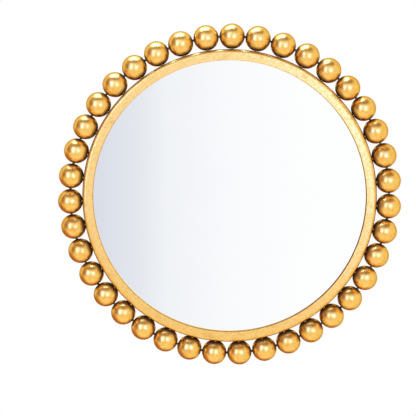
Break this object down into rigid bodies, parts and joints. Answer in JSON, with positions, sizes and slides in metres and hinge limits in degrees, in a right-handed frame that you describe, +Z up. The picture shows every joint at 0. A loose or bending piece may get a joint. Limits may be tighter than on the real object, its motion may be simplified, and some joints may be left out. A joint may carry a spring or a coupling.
{
  "type": "wall mirror",
  "caption": "Round wall mirror: a flat gold band round the glass, ringed by a string of gold balls, with two swinging hanger rings on its back.",
  "frame": {"origin": "centre of the mirror in the plane of the wall, which its four bumpers touch", "axes": "+Z up, +Y into the wall, so the mirror faces -Y; +X to the right of someone who looks into it"},
  "size_m": [0.5329, 0.0394, 0.5329],
  "materials": {
    "gold_leaf_band": "satin",
    "gold_leaf_beads": "gloss",
    "gold_leaf_hoop": "satin",
    "gold_leaf_tacks": "satin",
    "silvered_glass": "polished",
    "foam_tape": "matte",
    "black_fibreboard": "matte",
    "painted_tabs": "satin",
    "zinc_plate": "satin",
    "zinc_screws": "gloss",
    "black_rubber": "matte"
  },
  "bodies": {
    "mirror": {"frame_band": "gold_leaf_band", "bead_hoop": "gold_leaf_hoop", "bead_tacks": "gold_leaf_tacks", "mirror_glass": "silvered_glass", "foam_pads": "foam_tape", "backing_board": "black_fibreboard", "board_tabs": "painted_tabs", "tab_screws": "zinc_screws", "bead_01": "gold_leaf_beads", "bead_02": "gold_leaf_beads", "bead_03": "gold_leaf_beads", "bead_04": "gold_leaf_beads", "bead_05": "gold_leaf_beads", "bead_06": "gold_leaf_beads", "bead_07": "gold_leaf_beads", "bead_08": "gold_leaf_beads", "bead_09": "gold_leaf_beads", "bead_10": "gold_leaf_beads", "bead_11": "gold_leaf_beads", "bead_12": "gold_leaf_beads", "bead_13": "gold_leaf_beads", "bead_14": "gold_leaf_beads", "bead_15": "gold_leaf_beads", "bead_16": "gold_leaf_beads", "bead_17": "gold_leaf_beads", "bead_18": "gold_leaf_beads", "bead_19": "gold_leaf_beads", "bead_20": "gold_leaf_beads", "bead_21": "gold_leaf_beads", "bead_22": "gold_leaf_beads", "bead_23": "gold_leaf_beads", "bead_24": "gold_leaf_beads", "bead_25": "gold_leaf_beads", "bead_26": "gold_leaf_beads", "bead_27": "gold_leaf_beads", "bead_28": "gold_leaf_beads", "bead_29": "gold_leaf_beads", "bead_30": "gold_leaf_beads", "bead_31": "gold_leaf_beads", "bead_32": "gold_leaf_beads", "bead_33": "gold_leaf_beads", "bead_34": "gold_leaf_beads", "bead_35": "gold_leaf_beads", "bead_36": "gold_leaf_beads", "bead_37": "gold_leaf_beads", "bead_38": "gold_leaf_beads", "bead_39": "gold_leaf_beads", "left_hanger_strap": "zinc_plate", "left_hanger_screws": "zinc_screws", "right_hanger_strap": "zinc_plate", "right_hanger_screws": "zinc_screws", "wall_bumper_1": "black_rubber", "wall_bumper_2": "black_rubber", "wall_bumper_3": "black_rubber", "wall_bumper_4": "black_rubber"},
    "left_ring": {"left_hanger_ring": "zinc_plate"},
    "right_ring": {"right_hanger_ring": "zinc_plate"}
  },
  "joints": [
    {"name": "left_ring_swing", "type": "hinge", "parent": "mirror", "child": "left_ring", "pos_m": [-0.15, -0.0103, 0.112], "axis": [1, 0, 0], "range_deg": [0, 180]},
    {"name": "right_ring_swing", "type": "hinge", "parent": "mirror", "child": "right_ring", "pos_m": [0.15, -0.0103, 0.112], "axis": [1, 0, 0], "range_deg": [0, 180]}
  ]
}
